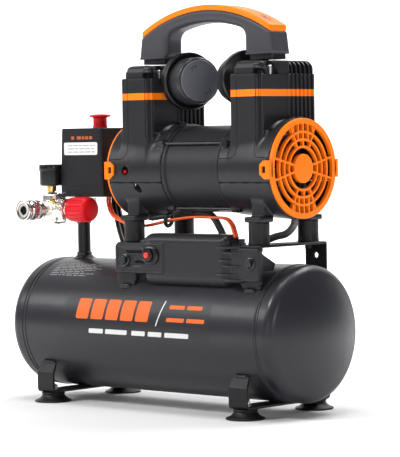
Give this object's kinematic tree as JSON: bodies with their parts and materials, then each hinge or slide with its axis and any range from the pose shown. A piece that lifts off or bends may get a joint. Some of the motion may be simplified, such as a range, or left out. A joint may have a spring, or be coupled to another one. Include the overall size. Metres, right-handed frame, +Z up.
{
  "type": "airbrush compressor",
  "caption": "Oil-free twin piston airbrush compressor on a horizontal air tank, with pressure switch, regulator, gauge, quick coupler and carrying handle.",
  "frame": {"origin": "on the ground under the middle of the tank", "axes": "+X along the tank towards the end under the motor, -Y towards the controls and capacitor box, +Z up"},
  "size_m": [0.4588, 0.169, 0.48],
  "materials": {
    "tank_paint": "satin black powder coat",
    "bracket_paint": "satin black powder coat",
    "foot_rubber": "matt black rubber",
    "zinc": "zinc plated steel",
    "brass": "turned brass",
    "black_pipe": "semi-gloss black paint",
    "nickel": "nickel plate",
    "braid": "woven steel braid",
    "switch_plastic": "fine textured plastic",
    "red_plastic": "gloss red plastic",
    "gauge_plastic": "black plastic",
    "needle": "red lacquer",
    "lens": "clear window",
    "box_plastic": "moulded plastic",
    "alloy": "cast aluminium",
    "orange_wire": "orange silicone insulation",
    "black_cable": "black sheath",
    "stator_paint": "black painted steel",
    "copper": "varnished copper",
    "steel": "ground steel",
    "cowl_plastic": "charcoal moulded plastic",
    "head_black": "black painted casting",
    "orange_plastic": "orange moulded plastic",
    "filter_plastic": "charcoal moulded plastic",
    "grip_plastic": "soft grey moulded plastic"
  },
  "bodies": {
    "base": {"tank_shell": "tank_paint", "tank_ends": "tank_paint", "foot_brackets": "bracket_paint", "rubber_feet": "foot_rubber", "foot_bolts": "zinc", "drain_body": "brass", "top_brackets": "bracket_paint", "rubber_buffers": "foot_rubber", "riser_pipe": "black_pipe", "manifold": "nickel", "check_valve": "brass", "discharge_hoses": "braid", "safety_valve": "brass", "switch_base": "switch_plastic", "switch_cover": "switch_plastic", "switch_works": "steel", "cord_gland": "gauge_plastic", "regulator_body": "nickel", "coupler_body": "nickel", "gauge_case": "gauge_plastic", "gauge_lens": "lens", "brass_fittings": "brass", "capacitor_box": "box_plastic", "capacitor": "alloy", "breaker": "gauge_plastic", "box_bolts": "zinc", "motor_wires": "orange_wire", "switch_cables": "black_cable", "stator_core": "stator_paint", "windings": "copper", "end_bells": "alloy", "main_bearings": "steel", "cylinders": "alloy", "valve_plates": "steel", "cylinder_heads": "head_black", "head_bolts": "zinc", "upper_cowl_left": "cowl_plastic", "upper_cowl_right": "cowl_plastic", "lower_cowls": "cowl_plastic", "grille_left": "orange_plastic", "grille_right": "orange_plastic", "tie_bolts": "zinc", "filter_bases": "filter_plastic", "filter_caps": "filter_plastic", "handle_grip": "grip_plastic", "handle_cap": "orange_plastic", "handle_screws": "zinc"},
    "crank": {"rotor": "steel", "crankshaft": "steel", "fans": "gauge_plastic"},
    "rod_left_body": {"rod_left": "alloy"},
    "rod_right_body": {"rod_right": "alloy"},
    "switch_knob_body": {"switch_knob": "red_plastic"},
    "regulator_knob_body": {"regulator_knob": "red_plastic"},
    "coupler_sleeve_body": {"coupler_sleeve": "nickel"},
    "needle_body": {"gauge_needle": "needle"},
    "reset_button_body": {"reset_button": "red_plastic"},
    "safety_ring_body": {"safety_ring": "steel"},
    "drain_screw_body": {"drain_screw": "brass"}
  },
  "joints": [
    {"name": "shaft_spin", "type": "hinge", "parent": "base", "child": "crank", "pos_m": [0.069, 0, 0.286], "axis": [1, 0, 0], "continuous": true},
    {"name": "rod_left_turn", "type": "hinge", "parent": "crank", "child": "rod_left_body", "pos_m": [-0.0185, 0, 0.29], "axis": [1, 0, 0], "continuous": true},
    {"name": "rod_right_turn", "type": "hinge", "parent": "crank", "child": "rod_right_body", "pos_m": [0.1565, 0, 0.282], "axis": [1, 0, 0], "continuous": true},
    {"name": "switch_pull", "type": "slide", "parent": "base", "child": "switch_knob_body", "axis": [0, 0, 1], "range_m": [-0.007, 0]},
    {"name": "pressure_turn", "type": "hinge", "parent": "base", "child": "regulator_knob_body", "pos_m": [-0.15, -0.03, 0.237], "axis": [1, 0, 0], "range_deg": [-360, 720]},
    {"name": "coupler_slide", "type": "slide", "parent": "base", "child": "coupler_sleeve_body", "axis": [0, 1, 0], "range_m": [0, 0.005], "stiffness_N_per_m": 600, "springref_m": -0.002},
    {"name": "needle_turn", "type": "hinge", "parent": "base", "child": "needle_body", "pos_m": [-0.187, -0.03, 0.288], "axis": [0, 0, -1], "range_deg": [0, 270]},
    {"name": "reset_press", "type": "slide", "parent": "base", "child": "reset_button_body", "axis": [0, 1, 0], "range_m": [0, 0.002], "stiffness_N_per_m": 400, "springref_m": -0.001},
    {"name": "safety_pull", "type": "slide", "parent": "base", "child": "safety_ring_body", "axis": [0, 0, 1], "range_m": [0, 0.003], "stiffness_N_per_m": 800, "springref_m": -0.002},
    {"name": "drain_turn", "type": "hinge", "parent": "base", "child": "drain_screw_body", "pos_m": [0.098, 0, 0.004], "axis": [0, 0, 1], "range_deg": [0, 720]}
  ],
  "couplings": [
    {"joint": "rod_left_turn", "follows": "shaft_spin", "ratio": -1},
    {"joint": "rod_right_turn", "follows": "shaft_spin", "ratio": -1}
  ]
}
